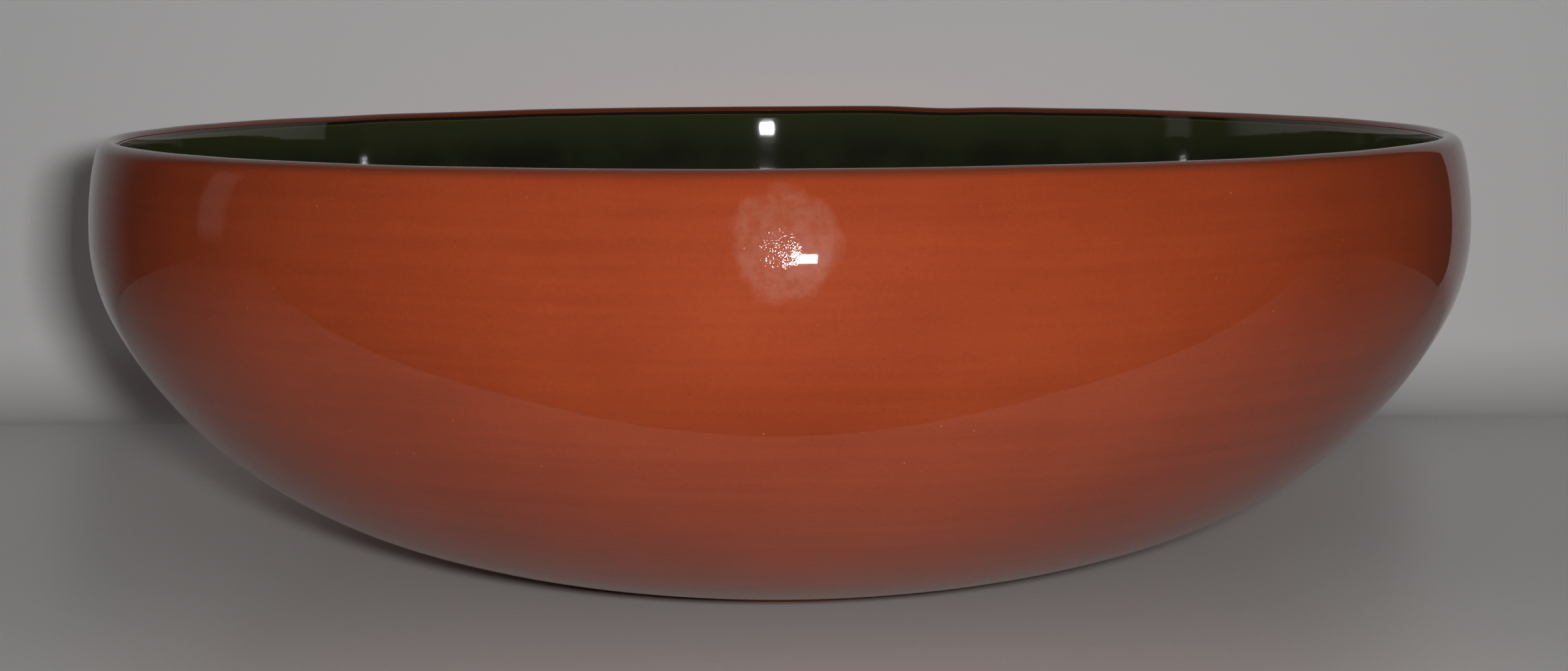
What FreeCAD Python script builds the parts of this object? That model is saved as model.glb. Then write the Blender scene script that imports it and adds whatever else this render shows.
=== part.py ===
import FreeCAD, Part
import math
import os

# A large, low serving bowl: a thrown red clay body, coated red outside and lined with dark
# green glaze. Origin on the table under the middle of the bowl, +Z up, all lengths in mm.

# Outside of the finished bowl
outer_diameter = 330.0      # widest circle, red coat included
belly_height = 82.4         # height of that widest circle above the table
rim_rise = 22.2             # from the widest circle up to the top of the lip

# Clay wall and floor
lip_inset = 5.4             # from the widest circle in to the top of the lip
lip_outer_radius = 3.0      # rounding of the lip's outer edge
lip_inner_radius = 1.3      # rounding of its inner edge
floor_thickness = 6.0       # in the middle of the well

# Foot ring
foot_diameter = 126.0       # outside of the ring
foot_height = 2.4           # from the table to the flat base above the ring
foot_width = 9.0            # across the ring, from its outer wall to its inner wall
foot_edge_radius = 0.9      # rounding of both edges of the face that it stands on

# Coats
slip_thickness = 0.3        # red coat on the outside
glaze_thickness = 0.5       # green lining
base_slip_thickness = 0.25  # red coat on the base, inside the ring

# Directions of the section, in degrees. A slope is 0 where the surface is level, 90 where
# it stands upright at the widest circle, and 180 on top of the lip.
foot_slope = 8.0            # underside, where it leaves the foot ring
shoulder_lean = 9.0         # how far the outside leans in where the shoulder starts
lip_lean = 18.0             # and where the rounding of the lip starts
lip_inner_slope = 87.5      # inside, where it meets the lip and is nearly upright
glaze_line_slope = 263.0    # edge between the red coat and the lining, on the lip's inner side
sweep_slopes = [22.0, 42.0, 64.0]   # where one arc of the section turns into the next
upright_slope = 86.0        # inside only, where the arcs turn into the nearly straight top

# The section is a chain of tangent arcs. The low arcs share one radius and the high arcs
# another, each times its share, and both radii follow from the two ends of the chain.
low_sweep_shares = [1.74, 1.0]
high_sweep_shares = [2.18, 1.0]
inner_low_shares = [4.75, 1.17, 1.0]    # the first is the nearly flat middle of the well
inner_high_shares = [1.2, 1.0, 13.4]    # the last is the nearly straight top of the wall

clay_radius = outer_diameter / 2 - slip_thickness
foot_radius = foot_diameter / 2
foot_bore_radius = foot_radius - foot_width
floor_height = foot_height + floor_thickness

# The lip is two arcs, a wide one outside and a narrow one inside, that meet on its top.
lip_top_radius = clay_radius - lip_inset
lip_top_height = belly_height + rim_rise - slip_thickness
lip_outer_centre = (lip_top_radius, lip_top_height - lip_outer_radius)
lip_inner_centre = (lip_top_radius, lip_top_height - lip_inner_radius)


def direction(slope):
    """Unit vector across the section, pointing away from an arc's centre at this slope."""
    turn = math.radians(slope)
    return math.sin(turn), -math.cos(turn)


def arc_point(arc, slope):
    """Point of an arc, given as its centre, radius and two slopes, at one slope."""
    (centre_r, centre_z), radius = arc[0], arc[1]
    out_r, out_z = direction(slope)
    return FreeCAD.Vector(centre_r + radius * out_r, 0, centre_z + radius * out_z)


def chain(start, end, slopes, low_shares, high_shares):
    """Tangent arcs from start to end, each (centre, radius, first slope, last slope).

    Both radii come from two equations: the arcs' steps outwards and upwards add up to
    the way from start to end.
    """
    steps = []
    for first, last in zip(slopes, slopes[1:]):
        first_r, first_z = direction(first)
        last_r, last_z = direction(last)
        steps.append((last_r - first_r, last_z - first_z))
    low_steps = steps[:len(low_shares)]
    high_steps = steps[len(low_shares):]
    low_r = sum(share * step[0] for share, step in zip(low_shares, low_steps))
    low_z = sum(share * step[1] for share, step in zip(low_shares, low_steps))
    high_r = sum(share * step[0] for share, step in zip(high_shares, high_steps))
    high_z = sum(share * step[1] for share, step in zip(high_shares, high_steps))
    way_r = end[0] - start[0]
    way_z = end[1] - start[1]
    determinant = low_r * high_z - high_r * low_z
    low_radius = (way_r * high_z - high_r * way_z) / determinant
    high_radius = (low_r * way_z - way_r * low_z) / determinant
    radii = [low_radius * share for share in low_shares]
    radii += [high_radius * share for share in high_shares]
    arcs = []
    at_r, at_z = start
    for radius, first, last, step in zip(radii, slopes, slopes[1:], steps):
        out_r, out_z = direction(first)
        centre = (at_r - radius * out_r, at_z - radius * out_z)
        arcs.append((centre, radius, first, last))
        at_r += radius * step[0]
        at_z += radius * step[1]
    return arcs


def outside_arcs():
    """Outer face of the clay, from the foot ring up to the top of the lip."""
    belly = (clay_radius, belly_height)
    slopes = [foot_slope] + sweep_slopes + [90]
    low = chain((foot_radius, foot_height), belly, slopes, low_sweep_shares, high_sweep_shares)
    lip = (lip_outer_centre, lip_outer_radius, 90 + lip_lean, 180)
    lip_start = arc_point(lip, lip[2])
    shoulder = chain(belly, (lip_start.x, lip_start.z), [90, 90 + shoulder_lean, 90 + lip_lean],
                     [1], [1])
    return low + shoulder + [lip]


def inside_arcs():
    """Inner face of the clay, from the middle of the well up to the lip."""
    slopes = [0, foot_slope] + sweep_slopes + [upright_slope, lip_inner_slope]
    lip_end = arc_point(lip_arc(180, 180 + lip_inner_slope), 180 + lip_inner_slope)
    return chain((0, floor_height), (lip_end.x, lip_end.z), slopes,
                 inner_low_shares, inner_high_shares)


def lip_arc(first, last):
    """Part of the lip's narrow inner rounding, between two slopes."""
    return (lip_inner_centre, lip_inner_radius, first, last)


def offset(arcs, distance):
    """The same arcs, moved away from their centres, or towards them if it is negative."""
    return [(centre, radius + distance, first, last) for centre, radius, first, last in arcs]


def arc_edges(arcs):
    edges = []
    for arc in arcs:
        first, last = arc[2], arc[3]
        middle = (first + last) / 2
        ends = [arc_point(arc, slope) for slope in (first, middle, last)]
        edges.append(Part.Arc(*ends).toShape())
    return edges


def line(start, end):
    return Part.LineSegment(start, end).toShape()


def turned(edges):
    """Solid made by turning a closed section round the bowl's axis."""
    section = Part.Face(Part.Wire(Part.__sortEdges__(edges)))
    return section.revolve(FreeCAD.Vector(0, 0, 0), FreeCAD.Vector(0, 0, 1), 360)


def coat(near_arcs, far_arcs):
    """Solid between two rows of arcs that run side by side."""
    first_near, last_near = near_arcs[0], near_arcs[-1]
    first_far, last_far = far_arcs[0], far_arcs[-1]
    low_end = line(arc_point(first_near, first_near[2]), arc_point(first_far, first_far[2]))
    high_end = line(arc_point(last_near, last_near[3]), arc_point(last_far, last_far[3]))
    return turned(arc_edges(near_arcs) + arc_edges(far_arcs) + [low_end, high_end])


def clay_body():
    base_middle = FreeCAD.Vector(0, 0, foot_height)
    base_edge = FreeCAD.Vector(foot_radius, 0, foot_height)
    well_middle = FreeCAD.Vector(0, 0, floor_height)
    lip = lip_arc(180, 180 + lip_inner_slope)
    edges = arc_edges(outside_arcs() + [lip] + inside_arcs())
    edges += [line(base_middle, base_edge), line(well_middle, base_middle)]
    return turned(edges)


def foot_ring():
    """Flat-topped ring under the base, with a level face to stand on and rounded edges."""
    top_out = FreeCAD.Vector(foot_radius, 0, foot_height)
    top_in = FreeCAD.Vector(foot_bore_radius, 0, foot_height)
    outer_middle = (foot_radius - foot_edge_radius, foot_edge_radius)
    inner_middle = (foot_bore_radius + foot_edge_radius, foot_edge_radius)
    outer_round = (outer_middle, foot_edge_radius, 0, 90)
    inner_round = (inner_middle, foot_edge_radius, 0, -90)
    rounds = arc_edges([outer_round, inner_round])
    face = line(arc_point(outer_round, 0), arc_point(inner_round, 0))
    outer_wall = line(top_out, arc_point(outer_round, 90))
    inner_wall = line(top_in, arc_point(inner_round, -90))
    return turned(rounds + [face, outer_wall, inner_wall, line(top_in, top_out)])


def sigillata_slip():
    """Red coat from the foot ring up the outside, over the lip, to the lining's edge."""
    under = outside_arcs() + [lip_arc(180, glaze_line_slope)]
    return coat(under, offset(under, slip_thickness))


def inner_glaze():
    """Green lining from the middle of the well up to its edge on the lip."""
    wall = inside_arcs()
    lip = [lip_arc(180 + lip_inner_slope, glaze_line_slope)]
    over_wall = offset(wall, -glaze_thickness)
    over_lip = offset(lip, glaze_thickness)
    return coat(wall + lip, over_wall + over_lip)


def base_slip():
    """Red coat on the base, as wide as the inside of the foot ring."""
    middle = FreeCAD.Vector(0, 0, foot_height - base_slip_thickness)
    return Part.makeCylinder(foot_bore_radius, base_slip_thickness, middle)


os.makedirs("parts", exist_ok=True)
for make in (clay_body, foot_ring, sigillata_slip, inner_glaze, base_slip):
    solid = make()
    solid.exportStep("parts/" + make.__name__ + ".step")
    print(make.__name__, solid.ShapeType, "valid:", solid.isValid(), "volume, mm3:", round(solid.Volume))
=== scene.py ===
# %% [markdown]
# # A red and green earthenware bowl, in Blender
#
# The bowl is a large, low serving bowl: thrown on a wheel in red clay, coated outside with a
# glossy red slip and lined with a glaze so dark a green that it looks black. Its measured solids
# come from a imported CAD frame. This lesson makes the pieces that are seen, around that frame.

# %% Load the frame
import math
import random
import bpy
from mathutils import Matrix, Vector


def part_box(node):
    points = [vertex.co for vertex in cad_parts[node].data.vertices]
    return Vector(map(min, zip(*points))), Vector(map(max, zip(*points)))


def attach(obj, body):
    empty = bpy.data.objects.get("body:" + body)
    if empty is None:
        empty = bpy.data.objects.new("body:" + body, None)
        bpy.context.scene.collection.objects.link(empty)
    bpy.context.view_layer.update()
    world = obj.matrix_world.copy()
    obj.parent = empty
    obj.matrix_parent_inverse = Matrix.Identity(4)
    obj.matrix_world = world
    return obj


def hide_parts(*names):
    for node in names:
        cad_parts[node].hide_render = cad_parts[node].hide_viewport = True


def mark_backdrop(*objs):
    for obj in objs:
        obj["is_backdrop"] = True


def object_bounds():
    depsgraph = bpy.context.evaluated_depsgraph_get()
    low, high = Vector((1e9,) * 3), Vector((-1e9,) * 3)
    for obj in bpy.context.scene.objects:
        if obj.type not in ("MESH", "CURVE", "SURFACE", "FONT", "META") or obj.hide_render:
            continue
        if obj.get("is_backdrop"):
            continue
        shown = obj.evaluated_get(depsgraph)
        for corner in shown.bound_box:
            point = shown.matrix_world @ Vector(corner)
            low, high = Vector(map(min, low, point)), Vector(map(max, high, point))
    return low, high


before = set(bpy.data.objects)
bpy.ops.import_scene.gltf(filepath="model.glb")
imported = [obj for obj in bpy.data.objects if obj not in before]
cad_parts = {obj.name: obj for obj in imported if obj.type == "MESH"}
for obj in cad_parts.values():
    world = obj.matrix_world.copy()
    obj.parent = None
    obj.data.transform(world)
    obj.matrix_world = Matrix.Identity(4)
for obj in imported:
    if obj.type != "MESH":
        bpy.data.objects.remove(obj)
cad_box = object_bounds()
print("CAD nodes:", sorted(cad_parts))

# %% [markdown]
# Every size below is in metres, the unit of the frame. What the frame's boxes tell is read from
# them, so the pieces fit whatever frame is loaded. The rest are the sizes of the pot's wall, which
# a potter would measure with calipers.

# %% The sizes of the pot
MM = 0.001
slip_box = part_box("sigillata_slip")
foot_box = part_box("foot_ring")
glaze_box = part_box("inner_glaze")
base_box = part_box("base_slip")

outer_radius = min(-slip_box[0].x, slip_box[1].x, -slip_box[0].y, slip_box[1].y)
rim_height = slip_box[1].z
foot_radius = foot_box[1].x
foot_height = foot_box[1].z
foot_bore_radius = base_box[1].x
floor_height = glaze_box[0].z

belly_height = 82.4 * MM        # height of the widest circle
lip_inset = 5.4 * MM            # from the widest circle in to the top of the lip
lip_outer_radius = 3.0 * MM     # rounding of the clay lip's outer edge
lip_inner_radius = 1.3 * MM     # and of its inner edge
slip_thickness = 0.3 * MM
glaze_thickness = 0.5 * MM
base_slip_thickness = 0.25 * MM
foot_edge_radius = 0.9 * MM
foot_slope = 8.0                # slopes are in degrees, 0 where the surface lies level
shoulder_lean = 9.0             # how far the outside leans in where the shoulder starts
lip_lean = 18.0                 # and where the rounding of the lip starts
lip_inner_slope = 87.5          # inside, where the wall meets the lip and is nearly upright
sweep_slopes = [22.0, 42.0, 64.0]
upright_slope = 86.0
low_sweep_shares = [1.74, 1.0]
high_sweep_shares = [2.18, 1.0]
inner_low_shares = [4.75, 1.17, 1.0]
inner_high_shares = [1.2, 1.0, 13.4]
clay_radius = outer_radius - slip_thickness
print("outer radius, mm:", round(outer_radius / MM, 2), "height, mm:", round(rim_height / MM, 2))

# %% [markdown]
# A potter shapes the wall with a rib, whose edge is a few curves that run smoothly into each
# other. The section here is the same: a chain of arcs, each starting in the direction in which
# the last one ended. A chain could be drawn by eye, but then the pieces wouldn't fit. Here two
# radii are worked out, one for the low arcs and one for the high ones, so that the chain goes
# from the foot to the widest circle exactly.


# %% Arcs of the section
def direction(slope):
    """Unit vector across the section, pointing away from an arc's centre at this slope."""
    turn = math.radians(slope)
    return Vector((math.sin(turn), 0, -math.cos(turn)))


def chain(start, end, slopes, low_shares, high_shares):
    """Tangent arcs from start to end, each (centre, radius, first slope, last slope)."""
    steps = [direction(last) - direction(first) for first, last in zip(slopes, slopes[1:])]
    low = sum((step * share for step, share in zip(steps, low_shares)), Vector())
    high_steps = steps[len(low_shares):]
    high = sum((step * share for step, share in zip(high_steps, high_shares)), Vector())
    way = end - start
    determinant = low.x * high.z - high.x * low.z
    low_radius = (way.x * high.z - high.x * way.z) / determinant
    high_radius = (low.x * way.z - way.x * low.z) / determinant
    radii = [low_radius * share for share in low_shares]
    radii += [high_radius * share for share in high_shares]
    arcs = []
    at = start.copy()
    for radius, step, first, last in zip(radii, steps, slopes, slopes[1:]):
        arcs.append((at - direction(first) * radius, radius, first, last))
        at = at + step * radius
    return arcs


belly = Vector((clay_radius, 0, belly_height))
lip_top = Vector((clay_radius - lip_inset, 0, rim_height - slip_thickness))
lip_outer_centre = lip_top - Vector((0, 0, lip_outer_radius))
lip_inner_centre = lip_top - Vector((0, 0, lip_inner_radius))
lip_inner_end = 180 + lip_inner_slope
lip_start = lip_outer_centre + direction(90 + lip_lean) * lip_outer_radius
lining_top = lip_inner_centre + direction(lip_inner_end) * lip_inner_radius

outside = chain(Vector((foot_radius, 0, foot_height)), belly, [foot_slope] + sweep_slopes + [90],
                low_sweep_shares, high_sweep_shares)
outside += chain(belly, lip_start, [90, 90 + shoulder_lean, 90 + lip_lean], [1], [1])
outside.append((lip_outer_centre, lip_outer_radius, 90 + lip_lean, 180))
inside = chain(Vector((0, 0, floor_height)), lining_top,
               [0, foot_slope] + sweep_slopes + [upright_slope, lip_inner_slope],
               inner_low_shares, inner_high_shares)
for side, arcs in (("outside", outside), ("inside", inside)):
    print(side, "radii, mm:", [round(radius / MM, 1) for _, radius, _, _ in arcs])

# %% [markdown]
# Blender can draw such an arc by itself. A plane is added and merged into one point, and the
# Spin tool carries that point round the arc's centre, leaving a row of edges behind it. Extrude
# draws the straight stretches. A curve object could do it too, but spun arcs are exact, and the
# mesh is in edit mode already for the turn round the wheel's axis that follows.

# %% Drawing and turning a section
TURN_STEPS = 288          # steps round the bowl, 3.6 mm each at the widest circle
ROW = 2.2 * MM            # length of a step along the section
MERGE_REACH = 0.001 * MM  # points nearer than this become one
SMOOTH_ANGLE = 40         # degrees: sharper edges than this stay sharp


def start_section(name, point):
    """A new mesh of one point, in edit mode."""
    if bpy.context.object and bpy.context.object.mode == "EDIT":
        bpy.ops.object.mode_set(mode="OBJECT")
    bpy.ops.object.select_all(action="DESELECT")
    bpy.ops.mesh.primitive_plane_add(size=MM, location=point)
    bpy.ops.object.transform_apply(location=True, rotation=True, scale=True)
    piece = bpy.context.object
    piece.name = name
    piece.data.name = name
    bpy.ops.object.mode_set(mode="EDIT")
    bpy.ops.mesh.select_mode(type="VERT")
    bpy.ops.mesh.select_all(action="SELECT")
    bpy.ops.mesh.merge(type="CENTER")
    return piece


def sweep(centre, radius, first, last, row=ROW, fewest=3):
    """Carries the end of the section round a centre, from one slope to another."""
    turn = math.radians(last - first)
    steps = max(fewest, round(abs(turn) * radius / row))
    bpy.ops.mesh.spin(steps=steps, angle=turn, center=centre, axis=(0, 1, 0))


def straight(piece, end, steps=1):
    """Extrudes the end of the section to a point, in equal steps."""
    piece.update_from_editmode()
    start = next(vertex.co.copy() for vertex in piece.data.vertices if vertex.select)
    for _ in range(steps):
        move = {"value": (end - start) / steps}
        bpy.ops.mesh.extrude_region_move(TRANSFORM_OT_translate=move)


def turn_on_wheel(steps=TURN_STEPS):
    """Turns the section round the axis, closes it and points its faces outwards."""
    bpy.ops.mesh.select_all(action="SELECT")
    bpy.ops.mesh.remove_doubles(threshold=MERGE_REACH)
    bpy.ops.mesh.spin(steps=steps, angle=math.radians(360), center=(0, 0, 0), axis=(0, 0, 1))
    bpy.ops.mesh.select_all(action="SELECT")
    bpy.ops.mesh.remove_doubles(threshold=MERGE_REACH)
    bpy.ops.mesh.normals_make_consistent(inside=False)
    bpy.ops.mesh.select_all(action="DESELECT")
    bpy.ops.object.mode_set(mode="OBJECT")


def finish_smooth(piece):
    bpy.ops.object.select_all(action="DESELECT")
    piece.select_set(True)
    bpy.context.view_layer.objects.active = piece
    bpy.ops.object.shade_smooth_by_angle(angle=math.radians(SMOOTH_ANGLE))
    faces = len(piece.data.polygons)
    size = [round(length / MM, 1) for length in piece.dimensions]
    print(piece.name, "faces:", faces, "size, mm:", size)

# %% [markdown]
# The red coat is a slip, clay thinned with water, and glossy once fired. It runs from the foot
# up the outside, over the lip and down to the green lining. It is made as a closed skin with a
# thickness and rounded edges, because the place where a coat stops is what the eye checks
# first. The outer face has rows 2.2 mm apart, and the hidden face behind it wider ones.

# %% The red slip on the outside
BACK_ROW = 6.0 * MM       # steps along hidden faces
LIP_ROW = 0.35 * MM       # steps round the lip
EDGE_STEPS = 6            # steps round a coat's rounded edge


def offset(arcs, distance):
    """The same arcs, moved away from their centres, or towards them if it is negative."""
    return [(centre, radius + distance, first, last) for centre, radius, first, last in arcs]


def backwards(arcs):
    return [(centre, radius, last, first) for centre, radius, first, last in reversed(arcs)]


def arc_start(arc):
    return arc[0] + direction(arc[2]) * arc[1]


edge_rounds = (glaze_thickness / 2 / (lip_inner_radius + glaze_thickness / 2)
               + slip_thickness / 2 / (lip_inner_radius + slip_thickness / 2))
slip_edge = lip_inner_end - math.degrees(edge_rounds)
red_way = outside + [(lip_inner_centre, lip_inner_radius, 180, slip_edge)]
red_face = offset(red_way, slip_thickness)

red_slip = start_section("red_gloss_slip", arc_start(red_face[0]))
for arc in red_face[:-2]:
    sweep(*arc, fewest=8)
for arc in red_face[-2:]:
    sweep(*arc, row=LIP_ROW)
edge_middle = lip_inner_centre + direction(slip_edge) * (lip_inner_radius + slip_thickness / 2)
sweep(edge_middle, slip_thickness / 2, slip_edge, slip_edge + 180, fewest=EDGE_STEPS)
for arc in backwards(red_way):
    sweep(*arc, row=BACK_ROW)
foot_edge_middle = arc_start(red_way[0]) + direction(foot_slope) * slip_thickness / 2
sweep(foot_edge_middle, slip_thickness / 2, 180 + foot_slope, 360 + foot_slope,
      fewest=EDGE_STEPS)
turn_on_wheel()
finish_smooth(red_slip)

# %% [markdown]
# The lining is a thick, dark green glaze. It starts on the inner side of the lip, where it
# meets the red slip in a rounded bead, and runs down the wall and over the well. A rib leaves
# shallow rings inside a thrown bowl, and over them the glaze's reflections wander. Each ring
# is one point of the section, pulled in or out with proportional editing, so its neighbours
# follow smoothly. Two more marks, wider and near the top, are placed so that the wall turns the
# lamp's reflection to the height and length that it has in the photograph.

# %% The green lining
RING_SPACING = 8.0 * MM
RING_DEPTH = 0.055 * MM
RING_SEED = 5
RIB_MARKS = ((82 * MM, 16 * MM, 0.17 * MM),     # height, reach and depth of each mark
             (103.4 * MM, 4.4 * MM, 0.05 * MM))


def points_along(arcs, spacing, chance):
    """Places on a row of arcs at uneven distances, each with its direction out."""
    places = []
    wait = spacing
    for centre, radius, first, last in arcs:
        length = abs(math.radians(last - first)) * radius
        while wait < length:
            way_out = direction(first + (last - first) * wait / length)
            places.append((centre + way_out * radius, way_out))
            wait += spacing * chance.uniform(0.6, 1.4)
        wait -= length
    return places


def select_nearest(piece, place):
    """Selects the one point of a mesh that is nearest to a place."""
    bpy.ops.mesh.select_all(action="DESELECT")
    bpy.ops.object.mode_set(mode="OBJECT")
    nearest = min(piece.data.vertices, key=lambda vertex: (vertex.co - place).length_squared)
    nearest.select = True
    bpy.ops.object.mode_set(mode="EDIT")


def press_rings(piece, arcs, spacing, depth, seed):
    chance = random.Random(seed)
    places = points_along(arcs, spacing, chance)
    for place, way_out in places:
        select_nearest(piece, place)
        bpy.ops.transform.translate(value=way_out * depth * chance.uniform(-1, 1),
                                    use_proportional_edit=True,
                                    proportional_edit_falloff="SMOOTH",
                                    proportional_size=spacing * chance.uniform(0.6, 1.0))
    print(piece.name, "rings:", len(places))


green_wall = offset(inside, -glaze_thickness)

green_lining = start_section("dark_green_lining", arc_start(green_wall[0]))
for arc in green_wall:
    sweep(*arc)
press_rings(green_lining, green_wall[:-1], RING_SPACING, RING_DEPTH, RING_SEED)
top_centre, top_radius = green_wall[-1][:2]
for height, reach, depth in RIB_MARKS:
    slope = math.degrees(math.acos((top_centre.z - height) / top_radius))
    select_nearest(green_lining, top_centre + direction(slope) * top_radius)
    bpy.ops.transform.translate(value=direction(slope) * depth, use_proportional_edit=True,
                                proportional_edit_falloff="SMOOTH", proportional_size=reach)
glaze_way = direction(lip_inner_end)
select_nearest(green_lining, lip_inner_centre + glaze_way * (lip_inner_radius + glaze_thickness))
edge_middle = lip_inner_centre + glaze_way * (lip_inner_radius + glaze_thickness / 2)
sweep(edge_middle, glaze_thickness / 2, lip_inner_end, lip_inner_end - 180, fewest=8)
for arc in backwards(inside):
    sweep(*arc, row=BACK_ROW)
turn_on_wheel()
finish_smooth(green_lining)

# %% [markdown]
# Under both coats is the thrown red clay. It only shows where the coats stop, beside the foot,
# so it is turned with half as many steps. It is still a whole, closed body: a cut or a chip
# would show clay all the way through.

# %% The clay body
BODY_STEPS = 144

clay = start_section("thrown_clay_body", Vector((0, 0, foot_height)))
straight(clay, Vector((foot_radius, 0, foot_height)), steps=6)
for arc in outside[:-1]:
    sweep(*arc, row=BACK_ROW)
sweep(*outside[-1], row=LIP_ROW)
sweep(lip_inner_centre, lip_inner_radius, 180, lip_inner_end, row=LIP_ROW)
for arc in backwards(inside):
    sweep(*arc, row=BACK_ROW)
turn_on_wheel(BODY_STEPS)
finish_smooth(clay)

# %% [markdown]
# The bowl stands on a low ring of bare clay. A potter lutes it to the base with slip and trues
# it with a turning tool, which leaves a small hollow line round the face it stands on. The ring
# is one closed section: down the outer wall, round the edge, across the face and up again.

# %% The foot ring
HOLLOW_DEPTH = 0.25 * MM
HOLLOW_WIDTH = 3.2 * MM
FOOT_EDGE_ROW = 0.25 * MM
FOOT_WALL_STEPS = 3
FOOT_FACE_STEPS = 14

ring_outer_top = Vector((foot_radius, 0, foot_height))
outer_round = Vector((foot_radius - foot_edge_radius, 0, foot_edge_radius))
inner_round = Vector((foot_bore_radius + foot_edge_radius, 0, foot_edge_radius))
face_middle = (foot_radius + foot_bore_radius) / 2
foot_ring = start_section("luted_foot_ring", ring_outer_top)
straight(foot_ring, Vector((foot_radius, 0, foot_edge_radius)), steps=FOOT_WALL_STEPS)
sweep(outer_round, foot_edge_radius, 90, 0, row=FOOT_EDGE_ROW)
straight(foot_ring, Vector((inner_round.x, 0, 0)), steps=FOOT_FACE_STEPS)
sweep(inner_round, foot_edge_radius, 0, -90, row=FOOT_EDGE_ROW)
straight(foot_ring, Vector((foot_bore_radius, 0, foot_height)), steps=FOOT_WALL_STEPS)
straight(foot_ring, ring_outer_top, steps=FOOT_WALL_STEPS)
select_nearest(foot_ring, Vector((face_middle, 0, 0)))
bpy.ops.transform.translate(value=(0, 0, HOLLOW_DEPTH), use_proportional_edit=True,
                            proportional_edit_falloff="SMOOTH",
                            proportional_size=HOLLOW_WIDTH)
turn_on_wheel()
finish_smooth(foot_ring)

# %% [markdown]
# Inside the ring the base is brushed with the same red slip. A turning tool that moves in from
# the ring to the middle leaves fine grooves, and they show through a coat this thin. The coat is
# a flat disc with its grooves pressed from below, and a rounded edge against the ring.

# %% The slip inside the foot
GROOVE_SPACING = 3.4 * MM
GROOVE_DEPTH = 0.06 * MM
GROOVE_SEED = 8
DISC_STEPS = 60           # from the middle of the disc to its edge, on the side that shows
DISC_BACK_STEPS = 10

base_level = foot_height - base_slip_thickness
disc_edge = Vector((foot_bore_radius - base_slip_thickness / 2, 0, base_level))
base_slip = start_section("foot_recess_slip", Vector((0, 0, base_level)))
straight(base_slip, disc_edge, steps=DISC_STEPS)
chance = random.Random(GROOVE_SEED)
groove = GROOVE_SPACING
while groove < foot_bore_radius - GROOVE_SPACING:
    select_nearest(base_slip, Vector((groove, 0, base_level)))
    bpy.ops.transform.translate(value=(0, 0, GROOVE_DEPTH * chance.uniform(0.2, 1)),
                                use_proportional_edit=True,
                                proportional_edit_falloff="SMOOTH",
                                proportional_size=GROOVE_SPACING * 0.6)
    groove += GROOVE_SPACING * chance.uniform(0.7, 1.3)
select_nearest(base_slip, disc_edge)
base_edge_middle = disc_edge + Vector((0, 0, base_slip_thickness / 2))
sweep(base_edge_middle, base_slip_thickness / 2, 0, 180, fewest=EDGE_STEPS)
straight(base_slip, Vector((0, 0, foot_height)), steps=DISC_BACK_STEPS)
turn_on_wheel()
finish_smooth(base_slip)

# %% [markdown]
# No thrown bowl is perfectly round. This one has a small dip in its far rim, where it was
# probably touched while wet, and its rim rises and falls by a fraction of a millimetre. One
# lattice round the whole bowl bends all five pieces alike, so the coats stay on the clay. Its
# points are only moved down, so the bowl stays inside its CAD box. Each point of a
# piece first notes the height at which it was thrown, which its finish can follow.

# %% Bending all pieces, one cage point at a time
LATTICE_POINTS = 27
LATTICE_SPACING = 15.0 * MM
DIP_COLUMN, DIP_ROW = 4, 10     # the cage point that lies on the dip, counted from the middle
DIP_PLACE = Vector((53.0 * MM, 152.0 * MM, 0))
DIP_MOVE = 1.45 * MM            # a smooth lattice passes on 0.44 of a single point's move
WAVE_MOVE = 0.35 * MM
LATTICE_SEED = 3

grid_place = Vector((DIP_PLACE.x - DIP_COLUMN * LATTICE_SPACING,
                     DIP_PLACE.y - DIP_ROW * LATTICE_SPACING, rim_height / 2))
bpy.ops.object.select_all(action="DESELECT")
bpy.ops.object.add(type="LATTICE", location=grid_place)
cage = bpy.context.object
cage.name = "hand_cage"
cage.data.points_u = LATTICE_POINTS
cage.data.points_v = LATTICE_POINTS
cage.data.points_w = 2
cage.data.interpolation_type_w = "KEY_LINEAR"
cage_width = LATTICE_SPACING * (LATTICE_POINTS - 1)
cage.scale = (cage_width, cage_width, rim_height)
bpy.context.view_layer.update()


def move_cage_point(index, move):
    """Moves one point of the cage, by the same operator that a hand would use."""
    for point in cage.data.points:
        point.select = False
    cage.data.points[index].select = True
    bpy.ops.object.mode_set(mode="EDIT")
    bpy.ops.transform.translate(value=move)
    bpy.ops.object.mode_set(mode="OBJECT")


chance = random.Random(LATTICE_SEED)
moved = 0
cage_places = [cage.matrix_world @ point.co for point in cage.data.points]
for index, place in enumerate(cage_places):
    reach = math.hypot(place.x, place.y)
    if place.z < rim_height / 2 or abs(reach - outer_radius) > 2 * LATTICE_SPACING:
        continue
    move = Vector((0, 0, -WAVE_MOVE * chance.uniform(0, 1)))
    if math.hypot(place.x - DIP_PLACE.x, place.y - DIP_PLACE.y) < LATTICE_SPACING / 2:
        move.z = -DIP_MOVE
    move_cage_point(index, move)
    moved += 1
print("cage points moved:", moved)

made_pieces = [red_slip, green_lining, clay, foot_ring, base_slip]
for piece in made_pieces:
    levels = piece.data.attributes.new("thrown_height", "FLOAT", "POINT")
    levels.data.foreach_set("value", [vertex.co.z for vertex in piece.data.vertices])
    bpy.ops.object.select_all(action="DESELECT")
    piece.select_set(True)
    bpy.context.view_layer.objects.active = piece
    bend = piece.modifiers.new("hand", "LATTICE")
    bend.object = cage
    bpy.ops.object.modifier_apply(modifier=bend.name)
bpy.data.objects.remove(cage)
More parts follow.
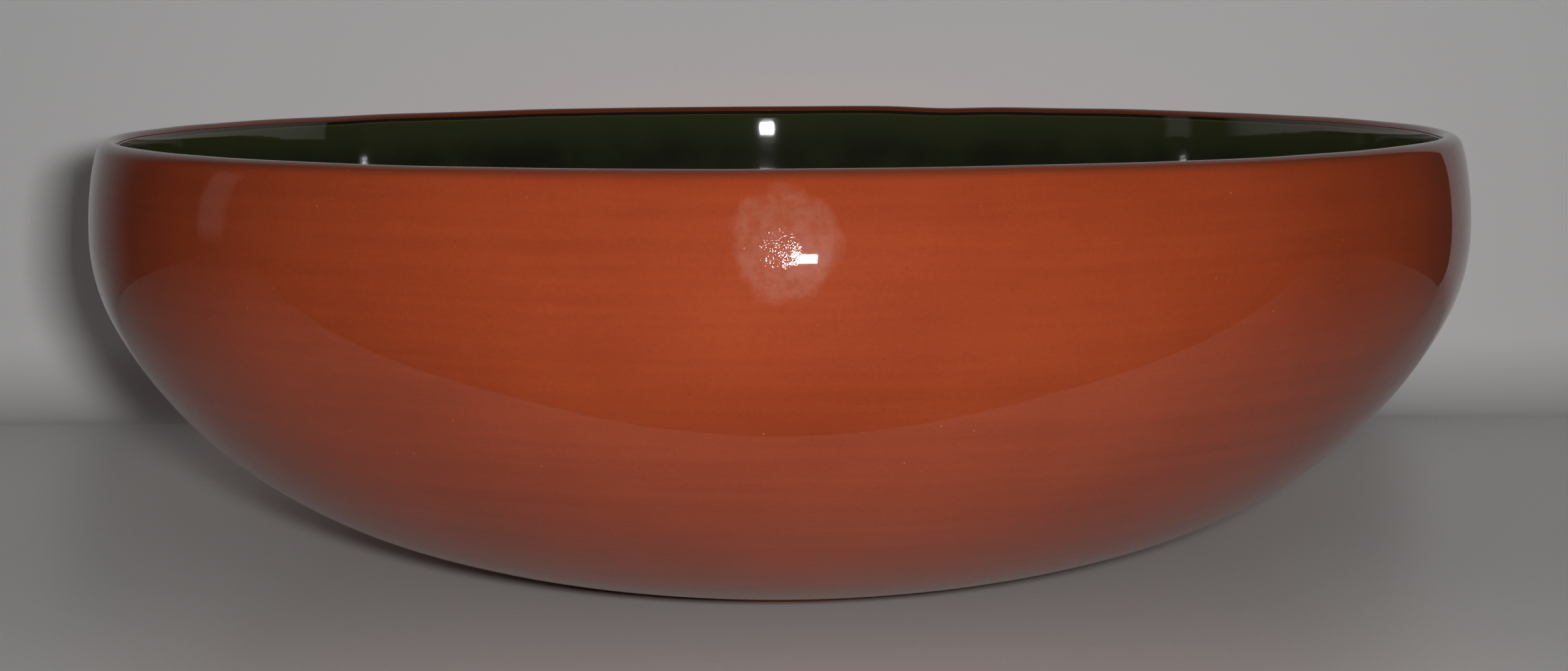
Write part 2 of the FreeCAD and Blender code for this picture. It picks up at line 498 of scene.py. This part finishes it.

# %% [markdown]
# Each piece now takes the place of its CAD node and rides on the part's one body.

# %% Pieces, nodes and finishes
for piece, node, finish in (
    (red_slip, "sigillata_slip", "sigillata_red"),
    (green_lining, "inner_glaze", "dark_green_glaze"),
    (clay, "clay_body", "red_earthenware"),
    (foot_ring, "foot_ring", "red_earthenware"),
    (base_slip, "base_slip", "sigillata_red"),
):
    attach(piece, "root")
    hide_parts(node)

# %% [markdown]
# Materials are built from nodes. One function turns a colour as it is written for screens, an
# sRGB hex value, to the linear numbers that light is reckoned in. Another adds a node, sets it
# up and links it. All patterns are laid out on Object coordinates, which are metres here, so a
# pattern's scale is one over its real size.

# %% Helpers for materials


def colour(code):
    """Linear colour of an sRGB hex value."""
    parts = [int(code[place:place + 2], 16) / 255 for place in (1, 3, 5)]
    linear = [part / 12.92 if part <= 0.04045 else ((part + 0.055) / 1.055) ** 2.4
              for part in parts]
    return (*linear, 1.0)


def add(tree, kind, inputs=None, **settings):
    """Adds a node: settings are its properties, inputs are values or sockets to link."""
    node = tree.nodes.new(kind)
    for name, value in settings.items():
        setattr(node, name, value)
    for name, value in (inputs or {}).items():
        if isinstance(value, bpy.types.NodeSocket):
            tree.links.new(value, node.inputs[name])
        else:
            node.inputs[name].default_value = value
    return node


def new_material(name):
    material = bpy.data.materials.new(name)
    material.use_nodes = True
    material.node_tree.nodes.clear()
    return material, material.node_tree


def per(size):
    """Scale of a pattern whose features are this long, in metres."""
    return 1 / size


# %% [markdown]
# The red finish is an iron-red slip under a clear, glossy fire skin. It was laid on with a
# wide brush while the bowl turned, so it has faint level streaks. A second look shows clouds
# a few centimetres wide, a fine grain, and dark and pale specks of grit. The streaks are noise
# that is stretched by pressing its heights together. The colours stay close to each other,
# because the whole coat looks like one colour from an arm's length away.

# %% Red slip
STREAK_LENGTH = 80 * MM
STREAK_HEIGHT = 2.4 * MM
CLOUD_SIZE = 38 * MM
GRAIN_SIZE = 0.9 * MM
SPECK_SPACING = 3.2 * MM

slip_material, tree = new_material("glossy_red_slip")
place = add(tree, "ShaderNodeTexCoord").outputs["Object"]
pressed = add(tree, "ShaderNodeMapping", {
    "Vector": place, "Scale": (1, 1, STREAK_LENGTH / STREAK_HEIGHT)})
streaks = add(tree, "ShaderNodeTexNoise", {
    "Vector": pressed.outputs[0], "Scale": per(STREAK_LENGTH), "Detail": 4.0,
    "Roughness": 0.6, "Distortion": 0.3})
clouds = add(tree, "ShaderNodeTexNoise", {
    "Vector": place, "Scale": per(CLOUD_SIZE), "Detail": 3.0, "Roughness": 0.5})
grain = add(tree, "ShaderNodeTexNoise", {
    "Vector": place, "Scale": per(GRAIN_SIZE), "Detail": 2.0, "Roughness": 0.7})
tone = add(tree, "ShaderNodeMath", {
    0: streaks.outputs["Fac"], 1: 0.75, 2: clouds.outputs["Fac"]}, operation="MULTIPLY_ADD")
tone_grain = add(tree, "ShaderNodeMath", {
    0: grain.outputs["Fac"], 1: 0.6, 2: tone.outputs[0]}, operation="MULTIPLY_ADD")
tone_share = add(tree, "ShaderNodeMapRange", {
    "Value": tone_grain.outputs[0], "From Min": 0.8, "From Max": 1.55})
body_colour = add(tree, "ShaderNodeMix", {
    0: tone_share.outputs[0], 6: colour("#7f3117"), 7: colour("#913c1e")}, data_type="RGBA")
specks = add(tree, "ShaderNodeTexVoronoi", {"Vector": place, "Scale": per(SPECK_SPACING)})
speck_core = add(tree, "ShaderNodeMapRange", {
    "Value": specks.outputs["Distance"], "From Min": 0.03, "From Max": 0.08,
    "To Min": 1.0, "To Max": 0.0})
speck_kind = add(tree, "ShaderNodeSeparateColor", {"Color": specks.outputs["Color"]})
dark_ones = add(tree, "ShaderNodeMath", {
    0: speck_kind.outputs["Red"], 1: 0.6}, operation="GREATER_THAN")
pale_ones = add(tree, "ShaderNodeMath", {
    0: speck_kind.outputs["Red"], 1: 0.12}, operation="LESS_THAN")
dark_specks = add(tree, "ShaderNodeMath", {
    0: speck_core.outputs[0], 1: dark_ones.outputs[0]}, operation="MULTIPLY")
pale_specks = add(tree, "ShaderNodeMath", {
    0: speck_core.outputs[0], 1: pale_ones.outputs[0]}, operation="MULTIPLY")
dark_share = add(tree, "ShaderNodeMath", {
    0: dark_specks.outputs[0], 1: 0.4}, operation="MULTIPLY")
pale_share = add(tree, "ShaderNodeMath", {
    0: pale_specks.outputs[0], 1: 0.35}, operation="MULTIPLY")
with_dark = add(tree, "ShaderNodeMix", {
    0: dark_share.outputs[0], 6: body_colour.outputs[2], 7: colour("#4a2014")},
    data_type="RGBA")
with_pale = add(tree, "ShaderNodeMix", {
    0: pale_share.outputs[0], 6: with_dark.outputs[2], 7: colour("#dc9468")},
    data_type="RGBA")

# %% [markdown]
# The top of the lip is painted a darker brown: painted shade, for the shade of the rounded lip
# and against the light that the overhead lamp puts on it.
# Where hands have held the bowl, between the belly and the lip, the fire skin is rubbed: a
# lamp's reflection there sits in a haze and breaks up at its side. The rubbed patch is a mask
# round one place, ragged by noise, with a pale, cloudy colour painted in it: a painted haze,
# which stands in for the lamp's hazy reflection. A smaller patch inside it is scratched: bumps
# less than a millimetre wide turn the lamp's reflection into sparkles.

# %% Painted lip shade, and a rubbed patch with painted haze
LIP_PAINTED_SHADE_DEPTH = 1.0 * MM
# The rubbed patch, which also carries the painted haze:
RUBBED_PLACE = (1.0 * MM, -164 * MM, 91.5 * MM)
RUBBED_FADE_START = 12.5 * MM   # both before the ragged noise is taken off
RUBBED_FADE_END = 15.0 * MM
RUBBED_WANDER = 9 * MM
RUBBED_RAGGED = 7 * MM
RUBBED_CLOUD = 2.2 * MM
SCRATCHED_PLACE = (-0.6 * MM, -164 * MM, 91.0 * MM)
SCRATCHED_FADE_START = 4.6 * MM
SCRATCHED_FADE_END = 6.6 * MM
SCRATCHED_WANDER = 4 * MM
SCRATCH_SIZE = 0.8 * MM
SCRATCH_DEPTH = 0.05 * MM
STREAK_DEPTH = 0.02 * MM

thrown = add(tree, "ShaderNodeAttribute", attribute_name="thrown_height").outputs["Fac"]
# Painted shade: towards the top of the lip the colour is mixed into a darker brown.
painted_lip_shade_share = add(tree, "ShaderNodeMapRange", {
    "Value": thrown, "From Min": rim_height - LIP_PAINTED_SHADE_DEPTH * 2,
    "From Max": rim_height - LIP_PAINTED_SHADE_DEPTH / 2, "To Max": 0.75})
with_painted_lip_shade = add(tree, "ShaderNodeMix", {
    0: painted_lip_shade_share.outputs[0], 6: with_pale.outputs[2], 7: colour("#65301f")}, data_type="RGBA")

away = add(tree, "ShaderNodeVectorMath", {0: place, 1: RUBBED_PLACE}, operation="DISTANCE")
ragged = add(tree, "ShaderNodeTexNoise", {"Vector": place, "Scale": per(RUBBED_RAGGED)})
edge_moved = add(tree, "ShaderNodeMath", {
    0: ragged.outputs["Fac"], 1: RUBBED_WANDER, 2: away.outputs["Value"]}, operation="MULTIPLY_ADD")
rubbed_with_painted_haze = add(tree, "ShaderNodeMapRange", {
    "Value": edge_moved.outputs[0], "From Min": RUBBED_FADE_START,
    "From Max": RUBBED_FADE_END, "To Min": 1.0, "To Max": 0.0})
cloudy = add(tree, "ShaderNodeTexNoise", {
    "Vector": place, "Scale": per(RUBBED_CLOUD), "Detail": 4.0, "Roughness": 0.65})
# Painted haze: a pale, cloudy colour mixed in over the rubbed patch, for the lamp's hazy
# reflection.
painted_haze = add(tree, "ShaderNodeMapRange", {
    "Value": cloudy.outputs["Fac"], "From Min": 0.35, "From Max": 0.68,
    "To Min": 0.015, "To Max": 0.06})
painted_haze_share = add(tree, "ShaderNodeMath", {
    0: rubbed_with_painted_haze.outputs[0], 1: painted_haze.outputs[0]}, operation="MULTIPLY")
with_painted_haze = add(tree, "ShaderNodeMix", {
    0: painted_haze_share.outputs[0], 6: with_painted_lip_shade.outputs[2], 7: colour("#dbd0bc")}, data_type="RGBA")
roughness = add(tree, "ShaderNodeMix", {
    0: rubbed_with_painted_haze.outputs[0], 2: 0.55, 3: 0.3}, data_type="FLOAT")
from_scratches = add(tree, "ShaderNodeVectorMath", {0: place, 1: SCRATCHED_PLACE},
                     operation="DISTANCE")
scratch_edge = add(tree, "ShaderNodeMath", {
    0: cloudy.outputs["Fac"], 1: SCRATCHED_WANDER, 2: from_scratches.outputs["Value"]},
    operation="MULTIPLY_ADD")
scratched = add(tree, "ShaderNodeMapRange", {
    "Value": scratch_edge.outputs[0], "From Min": SCRATCHED_FADE_START,
    "From Max": SCRATCHED_FADE_END, "To Min": 1.0, "To Max": 0.0})
scratches = add(tree, "ShaderNodeTexNoise", {
    "Vector": place, "Scale": per(SCRATCH_SIZE), "Detail": 1.0, "Distortion": 1.5})
scratch_height = add(tree, "ShaderNodeMath", {
    0: scratches.outputs["Fac"], 1: scratched.outputs[0]}, operation="MULTIPLY")
scratch_bump = add(tree, "ShaderNodeBump", {
    "Height": scratch_height.outputs[0], "Strength": 1.0, "Distance": SCRATCH_DEPTH})
streak_bump = add(tree, "ShaderNodeBump", {
    "Height": streaks.outputs["Fac"], "Strength": 0.3, "Distance": STREAK_DEPTH,
    "Normal": scratch_bump.outputs[0]})
finish = add(tree, "ShaderNodeBsdfPrincipled", {
    "Base Color": with_painted_haze.outputs[2], "Roughness": roughness.outputs[0],
    "Specular IOR Level": 0.15, "Normal": streak_bump.outputs[0], "Coat Weight": 0.85,
    "Coat Roughness": 0.03, "Coat IOR": 1.48, "Coat Normal": streak_bump.outputs[0]})
add(tree, "ShaderNodeOutputMaterial", {"Surface": finish.outputs[0]})
red_slip.data.materials.append(slip_material)
base_slip.data.materials.append(slip_material)
print(slip_material.name, "nodes:", len(tree.nodes))

# %% [markdown]
# The lining is a lead-bright glaze, stained with copper and iron until it is nearly black.
# It ends on the lip in a thick bead, which looks black. Just under the bead it has run thin, in
# a narrow olive line, and below that it is a green that deepens over a centimetre. All three
# follow the height at which each point was thrown, moved up and down a little by noise,
# because no glaze stops along a ruler.

# %% Dark green glaze
EDGE_WANDER = 0.25 * MM
EDGE_WANDER_SIZE = 14 * MM
BEAD_DEPTH = 0.9 * MM
THIN_DEPTH = 1.35 * MM
GREEN_DEPTH = 13 * MM
MOTTLE_SIZE = 16 * MM
RIPPLE_SIZE = 7 * MM
RIPPLE_DEPTH = 0.03 * MM

glaze_material, tree = new_material("bright_dark_green_glaze")
place = add(tree, "ShaderNodeTexCoord").outputs["Object"]
thrown = add(tree, "ShaderNodeAttribute", attribute_name="thrown_height").outputs["Fac"]
wander = add(tree, "ShaderNodeTexNoise", {
    "Vector": place, "Scale": per(EDGE_WANDER_SIZE), "Detail": 2.0})
wander_up = add(tree, "ShaderNodeMapRange", {
    "Value": wander.outputs["Fac"], "To Min": -EDGE_WANDER, "To Max": EDGE_WANDER})
level = add(tree, "ShaderNodeMath", {0: thrown, 1: wander_up.outputs[0]}, operation="ADD")
glaze_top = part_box("inner_glaze")[1].z
mottle = add(tree, "ShaderNodeTexNoise", {
    "Vector": place, "Scale": per(MOTTLE_SIZE), "Detail": 4.0})
mottle_share = add(tree, "ShaderNodeMapRange", {
    "Value": mottle.outputs["Fac"], "From Min": 0.35, "From Max": 0.65})
deep = add(tree, "ShaderNodeMix", {
    0: mottle_share.outputs[0], 6: colour("#21231a"), 7: colour("#2b2f1d")}, data_type="RGBA")
layers = deep.outputs[2]
for low, high, code in (
    (GREEN_DEPTH, THIN_DEPTH, "#353b21"),
    (THIN_DEPTH, BEAD_DEPTH + EDGE_WANDER, "#55522a"),
    (BEAD_DEPTH + EDGE_WANDER, BEAD_DEPTH, "#241a12"),
):
    share = add(tree, "ShaderNodeMapRange", {
        "Value": level.outputs[0], "From Min": glaze_top - low, "From Max": glaze_top - high})
    layers = add(tree, "ShaderNodeMix", {
        0: share.outputs[0], 6: layers, 7: colour(code)}, data_type="RGBA").outputs[2]
ripple = add(tree, "ShaderNodeTexNoise", {
    "Vector": place, "Scale": per(RIPPLE_SIZE), "Detail": 3.0})
ripple_bump = add(tree, "ShaderNodeBump", {
    "Height": ripple.outputs["Fac"], "Strength": 0.4, "Distance": RIPPLE_DEPTH})
finish = add(tree, "ShaderNodeBsdfPrincipled", {
    "Base Color": layers, "Roughness": 0.035, "Specular IOR Level": 0.6, "IOR": 1.55,
    "Normal": ripple_bump.outputs[0]})
add(tree, "ShaderNodeOutputMaterial", {"Surface": finish.outputs[0]})
green_lining.data.materials.append(glaze_material)
print(glaze_material.name, "nodes:", len(tree.nodes))

# %% [markdown]
# Bare earthenware is matt and a little sandy. The potter's sponge takes the fine clay off its
# surface and leaves grit standing proud, so it has grains a little under a millimetre across
# in its colour and in its bump.

# %% Bare red clay
GRIT_SIZE = 0.9 * MM
GRIT_HEIGHT = 0.12 * MM
PATCH_SIZE = 14 * MM

clay_material, tree = new_material("bare_red_earthenware")
place = add(tree, "ShaderNodeTexCoord").outputs["Object"]
grain = add(tree, "ShaderNodeTexNoise", {
    "Vector": place, "Scale": per(GRIT_SIZE), "Detail": 3.0, "Roughness": 0.7})
patches = add(tree, "ShaderNodeTexNoise", {
    "Vector": place, "Scale": per(PATCH_SIZE), "Detail": 3.0})
clay_colour = add(tree, "ShaderNodeMix", {
    0: patches.outputs["Fac"], 6: colour("#93543a"), 7: colour("#ad6c4c")}, data_type="RGBA")
grain_share = add(tree, "ShaderNodeMapRange", {
    "Value": grain.outputs["Fac"], "From Min": 0.35, "From Max": 0.7, "To Max": 0.35})
grainy = add(tree, "ShaderNodeMix", {
    0: grain_share.outputs[0], 6: clay_colour.outputs[2], 7: colour("#6d3a27")},
    data_type="RGBA")
grain_bump = add(tree, "ShaderNodeBump", {
    "Height": grain.outputs["Fac"], "Strength": 0.6, "Distance": GRIT_HEIGHT})
finish = add(tree, "ShaderNodeBsdfPrincipled", {
    "Base Color": grainy.outputs[2], "Roughness": 0.85, "Normal": grain_bump.outputs[0]})
add(tree, "ShaderNodeOutputMaterial", {"Surface": finish.outputs[0]})
clay.data.materials.append(clay_material)
foot_ring.data.materials.append(clay_material)
print(clay_material.name, "nodes:", len(tree.nodes))

# %% [markdown]
# The bowl stands on a pale grey, half-glossy shelf in front of a plain wall. The shelf ends just
# in front of the belly, and the glossy slip mirrors that edge: grey shelf below, a dark room
# above. The floor here goes on, because a stage should hold the bowl from every side, and only
# mirrored rays find it dark beyond the edge. It gets paler further out, where it is a backdrop.

# %% Floor
SHELF_FRONT = -175.3 * MM
FLOOR_SIZE = 8.0
SHELF_COLOUR = "#d4d4d2"        # the mean of the shelf's two greys
DARK_ROOM = "#1c1a18"
SHELF_GRAIN = 1.5 * MM
BACKDROP_START = 0.45           # distances from the bowl's axis
BACKDROP_FULL = 1.1

floor_material, tree = new_material("pale_shelf")
place = add(tree, "ShaderNodeTexCoord").outputs["Object"]
across = add(tree, "ShaderNodeSeparateXYZ", {"Vector": place})
weave = add(tree, "ShaderNodeTexNoise", {"Vector": place, "Scale": per(SHELF_GRAIN), "Detail": 2.0})
shelf_colour = add(tree, "ShaderNodeMix", {
    0: weave.outputs["Fac"], 6: colour("#cfcfcd"), 7: colour("#d8d8d6")}, data_type="RGBA")
far_out = add(tree, "ShaderNodeVectorMath", {0: place}, operation="LENGTH")
far_share = add(tree, "ShaderNodeMapRange", {
    "Value": far_out.outputs["Value"], "From Min": BACKDROP_START, "From Max": BACKDROP_FULL})
floor_colour = add(tree, "ShaderNodeMix", {
    0: far_share.outputs[0], 6: shelf_colour.outputs[2], 7: colour("#e2e2e0")},
    data_type="RGBA")
beyond = add(tree, "ShaderNodeMath", {
    0: across.outputs["Y"], 1: SHELF_FRONT}, operation="LESS_THAN")
rays = add(tree, "ShaderNodeLightPath")
mirrored = add(tree, "ShaderNodeMath", {
    0: beyond.outputs[0], 1: rays.outputs["Is Glossy Ray"]}, operation="MULTIPLY")
shelf = add(tree, "ShaderNodeBsdfPrincipled", {
    "Base Color": floor_colour.outputs[2], "Roughness": 0.34})
dark_room = add(tree, "ShaderNodeEmission", {"Color": colour(DARK_ROOM), "Strength": 1.0})
choice = add(tree, "ShaderNodeMixShader", {
    0: mirrored.outputs[0], 1: shelf.outputs[0], 2: dark_room.outputs[0]})
add(tree, "ShaderNodeOutputMaterial", {"Surface": choice.outputs[0]})

bpy.ops.object.select_all(action="DESELECT")
bpy.ops.mesh.primitive_plane_add(size=FLOOR_SIZE, location=(0, 0, 0))
floor = bpy.context.object
floor.name = "shelf_top"
floor.data.materials.append(floor_material)

# %% [markdown]
# The wall is white and gets its grey from its distance to the lamp. It meets the shelf in a
# small cove, and its paint turns into the shelf's grey there, so no hard line is seen. It is
# pale to the camera from the front and see-through from behind. To mirrored rays it ends at
# the left and right, where the wall's reflections end in the photograph.

# %% Wall
WALL_PLACE = 192 * MM
COVE_RADIUS = 24 * MM
COVE_STEPS = 12
WALL_HEIGHT = 2.4
WALL_RIGHT_END = 400 * MM
WALL_LEFT_END = -540 * MM
WALL_LEFT_FADE = -300 * MM

wall_material, tree = new_material("plain_wall")
place = add(tree, "ShaderNodeTexCoord").outputs["Object"]
across = add(tree, "ShaderNodeSeparateXYZ", {"Vector": place})
up_the_cove = add(tree, "ShaderNodeMapRange", {
    "Value": across.outputs["Z"], "From Max": COVE_RADIUS})
wall_colour = add(tree, "ShaderNodeMix", {
    0: up_the_cove.outputs[0], 6: colour(SHELF_COLOUR), 7: colour("#f3f3f3")},
    data_type="RGBA")
too_right = add(tree, "ShaderNodeMath", {
    0: across.outputs["X"], 1: WALL_RIGHT_END}, operation="GREATER_THAN")
too_left = add(tree, "ShaderNodeMapRange", {
    "Value": across.outputs["X"], "From Min": WALL_LEFT_END, "From Max": WALL_LEFT_FADE,
    "To Min": 1.0, "To Max": 0.0})
outside_wall = add(tree, "ShaderNodeMath", {
    0: too_right.outputs[0], 1: too_left.outputs[0]}, operation="ADD", use_clamp=True)
rays = add(tree, "ShaderNodeLightPath")
mirrored = add(tree, "ShaderNodeMath", {
    0: outside_wall.outputs[0], 1: rays.outputs["Is Glossy Ray"]}, operation="MULTIPLY")
paint = add(tree, "ShaderNodeBsdfPrincipled", {
    "Base Color": wall_colour.outputs[2], "Roughness": 0.6})
dark_room = add(tree, "ShaderNodeEmission", {"Color": colour(DARK_ROOM), "Strength": 1.0})
front = add(tree, "ShaderNodeMixShader", {
    0: mirrored.outputs[0], 1: paint.outputs[0], 2: dark_room.outputs[0]})
clear = add(tree, "ShaderNodeBsdfTransparent")
faces = add(tree, "ShaderNodeNewGeometry")
sides = add(tree, "ShaderNodeMixShader", {
    0: faces.outputs["Backfacing"], 1: front.outputs[0], 2: clear.outputs[0]})
add(tree, "ShaderNodeOutputMaterial", {"Surface": sides.outputs[0]})

wall = start_section("plain_wall", Vector((-FLOOR_SIZE / 2, WALL_PLACE - COVE_RADIUS, 0)))
bpy.ops.mesh.spin(steps=COVE_STEPS, angle=math.radians(-90), axis=(1, 0, 0),
                  center=(-FLOOR_SIZE / 2, WALL_PLACE - COVE_RADIUS, COVE_RADIUS))
straight(wall, Vector((-FLOOR_SIZE / 2, WALL_PLACE, WALL_HEIGHT)))
bpy.ops.mesh.select_all(action="SELECT")
bpy.ops.mesh.extrude_region_move(TRANSFORM_OT_translate={"value": (FLOOR_SIZE, 0, 0)})
bpy.ops.mesh.select_all(action="DESELECT")
bpy.ops.object.mode_set(mode="OBJECT")
wall.data.materials.append(wall_material)
finish_smooth(wall)
tallest = max(wall.data.polygons, key=lambda face: face.area)
if tallest.normal.y > 0:
    wall.data.flip_normals()
print("wall faces the bowl:", tallest.normal.y < 0)
wall.visible_shadow = False
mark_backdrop(floor, wall)

# %% [markdown]
# A glossy bowl shows the room that it stands in. On its left the slip mirrors a tall, pale
# doorway. A card stands in for it: a glowing rectangle that only mirrored rays can see.

# %% A card for the reflection
CARD_SOFTNESS = (("X", 0.2), ("Y", 0.3))    # where the glow is full; the edge is at 0.5
DOORWAY_PLACE = (-1.14, 0.04, 0.26)
DOORWAY_WIDTH = 0.18
DOORWAY_HEIGHT = 0.42
DOORWAY_STRENGTH = 0.3


def mirrored_card(name, place, width, height, code, strength):
    """A glowing card, seen only in reflections, that faces the bowl's axis."""
    material, tree = new_material(name)
    place_on_card = add(tree, "ShaderNodeTexCoord").outputs["Object"]
    from_middle = add(tree, "ShaderNodeVectorMath", {0: place_on_card}, operation="ABSOLUTE")
    sides = add(tree, "ShaderNodeSeparateXYZ", {"Vector": from_middle.outputs[0]})
    strengths = [add(tree, "ShaderNodeMapRange", {
        "Value": sides.outputs[axis], "From Min": 0.5, "From Max": full},
        interpolation_type="SMOOTHSTEP") for axis, full in CARD_SOFTNESS]
    both = add(tree, "ShaderNodeMath", {
        0: strengths[0].outputs[0], 1: strengths[1].outputs[0]}, operation="MULTIPLY")
    power = add(tree, "ShaderNodeMath", {0: both.outputs[0], 1: strength}, operation="MULTIPLY")
    glow = add(tree, "ShaderNodeEmission", {"Color": colour(code), "Strength": power.outputs[0]})
    add(tree, "ShaderNodeOutputMaterial", {"Surface": glow.outputs[0]})
    bpy.ops.object.select_all(action="DESELECT")
    bpy.ops.mesh.primitive_plane_add(size=1, location=place)
    card = bpy.context.object
    card.name = name
    card.scale = (width, height, 1)
    facing = Vector((-place[0], -place[1], 0))
    card.rotation_euler = facing.to_track_quat("Z", "Y").to_euler()
    card.data.materials.append(material)
    for ray in ("visible_camera", "visible_diffuse", "visible_shadow", "visible_transmission"):
        setattr(card, ray, False)
    card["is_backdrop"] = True


mirrored_card("pale_doorway", DOORWAY_PLACE, DOORWAY_WIDTH, DOORWAY_HEIGHT, "#e6dcd4",
              DOORWAY_STRENGTH)

# %% [markdown]
# One lamp stands just beside and above the camera, as the light on the real bowl did. Mirrored
# rays don't see it. Two small lamps near the same place give the short, bright highlights, one
# on the near outside and one on the far inside. The real light was one flash, but with this
# section one lamp can't put both highlights where the photograph has them. So the two differ in
# height, and each shines only over distances that are shorter, or longer, than its limit. No
# real lamp does that. A wide, weak lamp overhead and a dim world lighten the shadows. Two wide
# lamps behind the wall light the back of the bowl. They are as low as the bowl itself, so on
# the floor their light is too grazing to wash out the real bowl's shadow.

# %% Lamps and world
def lamp(name, place, target, width, height, power, mirrored=True, diffuse=True):
    """A rectangular lamp that points at a target."""
    bpy.ops.object.select_all(action="DESELECT")
    bpy.ops.object.light_add(type="AREA", location=place)
    light = bpy.context.object
    light.name = name
    light.data.name = name
    light.data.shape = "RECTANGLE"
    light.data.size = width
    light.data.size_y = height
    light.data.energy = power
    light.rotation_euler = (Vector(target) - Vector(place)).to_track_quat("-Z", "Y").to_euler()
    light.visible_camera = False
    light.visible_glossy = mirrored
    light.visible_diffuse = diffuse
    return light


LAMP_SIDE, LAMP_FRONT, LAMP_HEIGHT = 28 * MM, -541 * MM, 142 * MM
KEY_TARGET = (0, 0, 60 * MM)
GLINT_TARGET = (0, -100 * MM, 60 * MM)
FRONT_REACH = 410 * MM      # the near outside lies closer to the lamps, the far inside further
GLINTS = (("outer_glint", 107 * MM, "LESS_THAN"), ("inner_glint", 140 * MM, "GREATER_THAN"))
BACK_PLACE = Vector((0.5, 2.0, 0.08))
BACK_TARGET = (0, 0, 0.08)

lamp("soft_key", (LAMP_SIDE, LAMP_FRONT, LAMP_HEIGHT), KEY_TARGET, 0.034, 0.022, 1.9,
     mirrored=False)
for name, height, side in GLINTS:
    glint = lamp(name, (LAMP_SIDE, LAMP_FRONT, height), GLINT_TARGET, 0.028, 0.015, 0.2,
                 diffuse=False)
    glint.data.use_nodes = True
    tree = glint.data.node_tree
    tree.nodes.clear()
    way = add(tree, "ShaderNodeLightPath").outputs["Ray Length"]
    lit = add(tree, "ShaderNodeMath", {0: way, 1: FRONT_REACH}, operation=side)
    shine = add(tree, "ShaderNodeEmission", {"Strength": lit.outputs[0]})
    add(tree, "ShaderNodeOutputLight", {"Surface": shine.outputs[0]})
lamp("overhead", (0, 0, 1.6), (0, 0, 0), 1.6, 1.2, 0.6, mirrored=False)
for name, side in (("back_left", -1), ("back_right", 1)):
    lamp(name, (side * BACK_PLACE.x, BACK_PLACE.y, BACK_PLACE.z), BACK_TARGET, 1.0, 0.12, 9.0,
         mirrored=False)

world = bpy.data.worlds.new("dim_room")
bpy.context.scene.world = world
world.use_nodes = True
tree = world.node_tree
tree.nodes.clear()
rays = add(tree, "ShaderNodeLightPath")
room = add(tree, "ShaderNodeBackground", {"Color": colour("#6a6a6a"), "Strength": 0.15})
seen = add(tree, "ShaderNodeBackground", {"Color": colour("#a8a8a8"), "Strength": 1.0})
choice = add(tree, "ShaderNodeMixShader", {
    0: rays.outputs["Is Camera Ray"], 1: room.outputs[0], 2: seen.outputs[0]})
add(tree, "ShaderNodeOutputWorld", {"Surface": choice.outputs[0]})

# %% [markdown]
# The camera's place and lens were worked out from the two rim curves and the outline of the
# bowl: 0.54 m in front of its axis and 129 mm above the shelf, looking down by 8 degrees.

# %% Camera
CAMERA_PLACE = Vector((0, -0.5423, 0.12856))
PITCH = math.radians(7.998)
YAW = math.radians(0.092)
ROLL = math.radians(0.25)
IMAGE_WIDTH = 2390
FOCAL_PIXELS = 3311

ahead = Vector((math.sin(YAW) * math.cos(PITCH), math.cos(YAW) * math.cos(PITCH),
                -math.sin(PITCH)))
level_right = ahead.cross(Vector((0, 0, 1))).normalized()
level_up = level_right.cross(ahead)
right = level_right * math.cos(ROLL) - level_up * math.sin(ROLL)
up = level_right * math.sin(ROLL) + level_up * math.cos(ROLL)
bpy.ops.object.select_all(action="DESELECT")
bpy.ops.object.camera_add(location=CAMERA_PLACE)
camera = bpy.context.object
camera.name = "camera"
camera.rotation_euler = Matrix((right, up, -ahead)).transposed().to_euler()
camera.data.sensor_width = 36
camera.data.lens = FOCAL_PIXELS / IMAGE_WIDTH * camera.data.sensor_width
camera.data.clip_start = 0.01
bpy.context.scene.camera = camera
bpy.context.scene.view_settings.view_transform = "Standard"
print("lens, mm:", round(camera.data.lens, 2))

# %% [markdown]
# Last, the box of the finished bowl is set beside the box of the CAD model. The visual model
# has to stay inside it.

# %% Sizes
seen_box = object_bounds()
for corner, cad_corner in zip(seen_box, cad_box):
    print("corner, mm:", [round(c / MM, 3) for c in corner],
          "CAD:", [round(c / MM, 3) for c in cad_corner])
